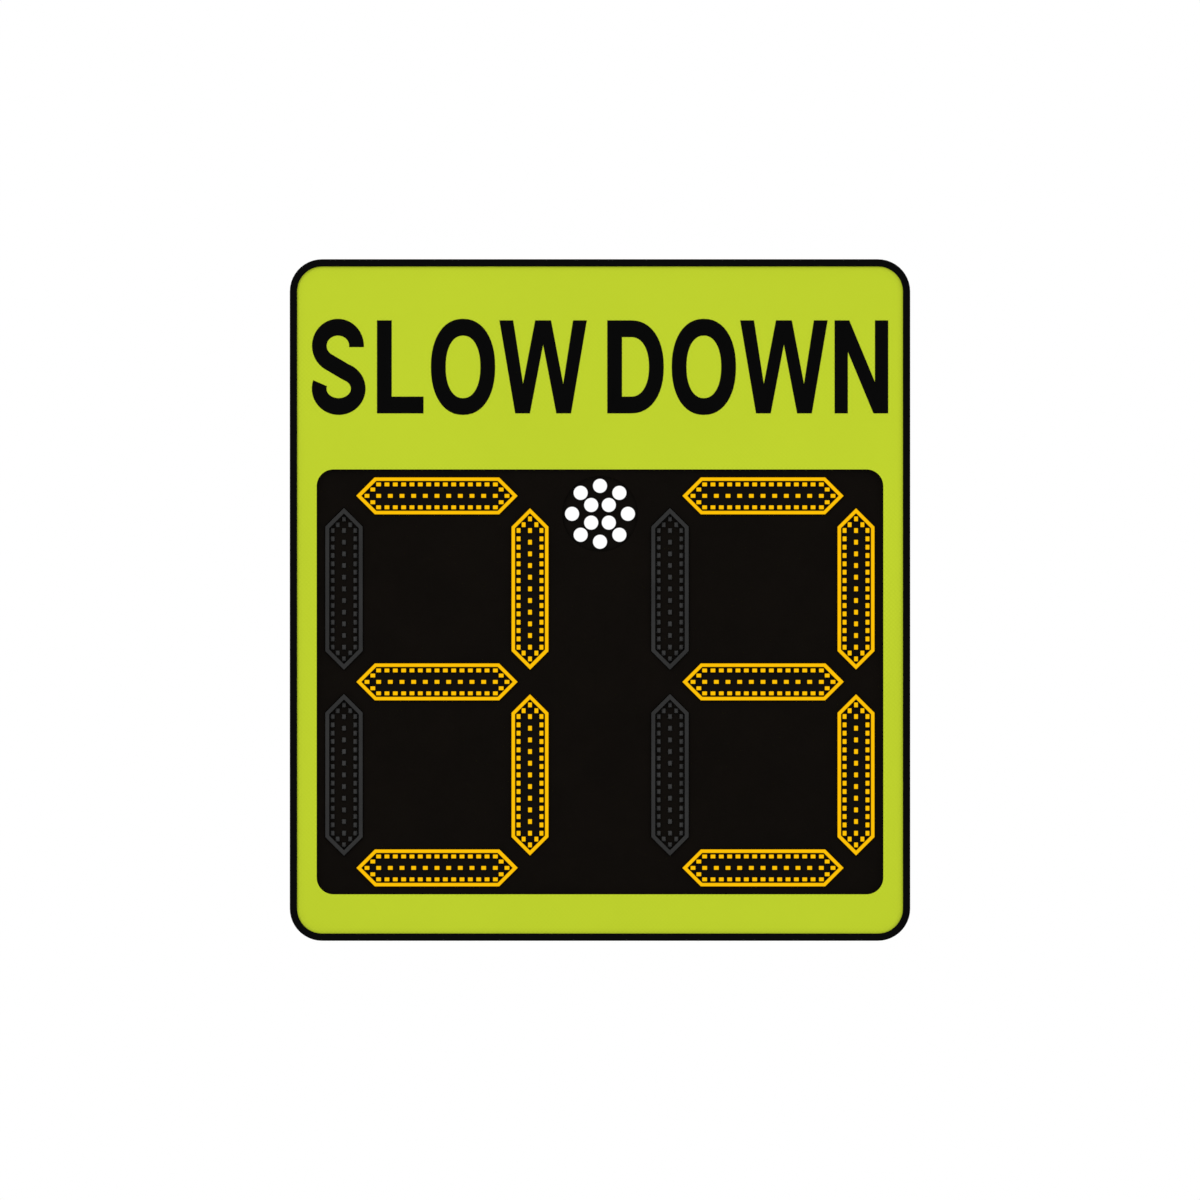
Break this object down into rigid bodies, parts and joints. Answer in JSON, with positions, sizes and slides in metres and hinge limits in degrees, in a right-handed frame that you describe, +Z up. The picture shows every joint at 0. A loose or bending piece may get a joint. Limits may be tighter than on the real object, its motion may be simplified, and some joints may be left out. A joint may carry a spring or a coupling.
{
  "type": "radar speed sign",
  "caption": "Post-mounted radar speed sign: rounded cabinet with a yellow-green face, a black window with amber segment digits and a white strobe, and a hinged front.",
  "frame": {"origin": "middle of the post bolt pattern, on the plane where the mounting rails meet the post", "axes": "+Z up; the sign faces -Y and +Y points to the post; +X is the sign's right as seen from the front"},
  "size_m": [0.577, 0.15, 0.6338],
  "materials": {
    "tub_paint": "black powder coat on aluminium sheet",
    "black_coat": "satin black coat on aluminium sheet",
    "reflective_face": "yellow-green retroreflective film on composite sheet",
    "display_black": "matt black polycarbonate",
    "lit_amber": "amber lens, lit",
    "dark_lens": "smoked lens, unlit",
    "white_lens": "white lens, lit",
    "circuit_board": "solder-masked glass-fibre board",
    "led_board": "board with black solder mask",
    "bare_aluminium": "plain mill finish",
    "galvanised_steel": "zinc-coated steel",
    "hinge_steel": "stainless steel",
    "rubber": "closed-cell black rubber",
    "grey_plastic": "moulded grey plastic",
    "battery_case": "moulded battery case",
    "radar_case": "moulded plastic case"
  },
  "bodies": {
    "cabinet": {"rear_tub": "tub_paint", "door_gasket": "rubber", "upper_mount_rail": "galvanised_steel", "lower_mount_rail": "galvanised_steel", "entry_frame": "grey_plastic", "entry_grommet": "rubber", "equipment_plate": "bare_aluminium", "plate_standoffs": "galvanised_steel", "controller_board": "circuit_board", "controller_spacers": "galvanised_steel", "charge_regulator": "bare_aluminium", "terminal_block": "grey_plastic", "battery": "battery_case", "battery_strap": "galvanised_steel", "hinge_tub_halves": "hinge_steel", "tub_lug": "black_coat"},
    "door": {"hinge_door_halves": "hinge_steel", "door_lug": "black_coat", "door_frame": "black_coat", "face_retainer": "black_coat", "face_panel": "reflective_face", "face_tape": "rubber", "display_seal": "rubber", "display_panel": "display_black", "left_digit_board": "led_board", "right_digit_board": "led_board", "left_lit_leds": "lit_amber", "right_lit_leds": "lit_amber", "left_dark_leds": "dark_lens", "right_dark_leds": "dark_lens", "strobe_board": "led_board", "strobe_lenses": "white_lens", "radar_antenna": "circuit_board", "radar_module": "radar_case", "left_top_light_guide": "lit_amber", "left_upper_right_light_guide": "lit_amber", "left_lower_right_light_guide": "lit_amber", "left_bottom_light_guide": "lit_amber", "left_lower_left_light_guide": "dark_lens", "left_upper_left_light_guide": "dark_lens", "left_middle_light_guide": "lit_amber", "right_top_light_guide": "lit_amber", "right_upper_right_light_guide": "lit_amber", "right_lower_right_light_guide": "lit_amber", "right_bottom_light_guide": "lit_amber", "right_lower_left_light_guide": "dark_lens", "right_upper_left_light_guide": "dark_lens", "right_middle_light_guide": "lit_amber"}
  },
  "joints": [
    {"name": "door_hinge", "type": "hinge", "parent": "cabinet", "child": "door", "pos_m": [-0.26817, -0.10033, 0], "axis": [0, 0, -1], "range_deg": [0, 110]}
  ]
}
